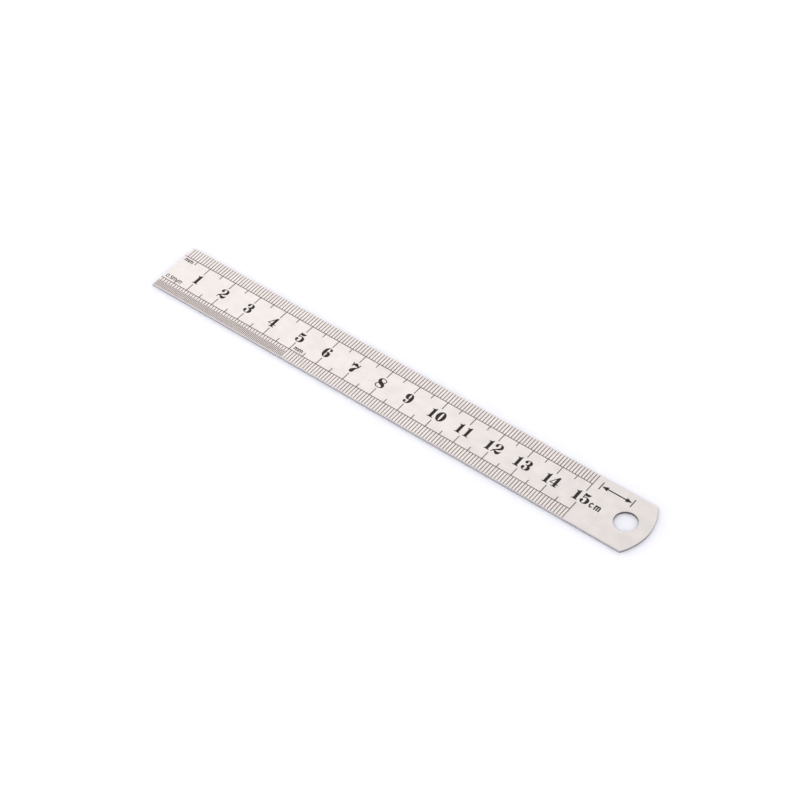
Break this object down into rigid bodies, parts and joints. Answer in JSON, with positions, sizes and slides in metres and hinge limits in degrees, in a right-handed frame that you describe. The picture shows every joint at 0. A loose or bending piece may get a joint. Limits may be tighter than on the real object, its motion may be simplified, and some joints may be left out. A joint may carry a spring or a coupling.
{
  "type": "steel ruler",
  "caption": "Thin flat stainless steel ruler with a square zero end, a rounded end with a hanging hole, and black-filled etched metric scales along both edges.",
  "frame": {"origin": "the zero end of the scale, on the blade's centre line, at its underside", "axes": "+X along the scale from the zero end to the hanging hole, so x is the reading; +Y across the blade, towards the edge graduated in whole millimetres all the way; +Z out of the graduated face"},
  "size_m": [0.1722, 0.019, 0.0008],
  "materials": {
    "stainless_steel": "satin rolled stainless steel",
    "black_fill": "matt black filling in etched marks"
  },
  "bodies": {
    "root": {"blade": "stainless_steel", "upper_base_line": "black_fill", "upper_mm_ticks": "black_fill", "upper_half_cm_ticks": "black_fill", "upper_cm_ticks": "black_fill", "lower_base_line": "black_fill", "lower_mm_ticks": "black_fill", "lower_half_mm_ticks": "black_fill", "lower_half_cm_ticks": "black_fill", "lower_cm_ticks": "black_fill", "numeral_01": "black_fill", "numeral_02": "black_fill", "numeral_03": "black_fill", "numeral_04": "black_fill", "numeral_05": "black_fill", "numeral_06": "black_fill", "numeral_07": "black_fill", "numeral_08": "black_fill", "numeral_09": "black_fill", "numeral_10": "black_fill", "numeral_11": "black_fill", "numeral_12": "black_fill", "numeral_13": "black_fill", "numeral_14": "black_fill", "numeral_15": "black_fill", "label_mm_upper": "black_fill", "label_half_mm": "black_fill", "label_mm_lower": "black_fill", "label_cm": "black_fill", "length_arrow": "black_fill"}
  },
  "joints": []
}
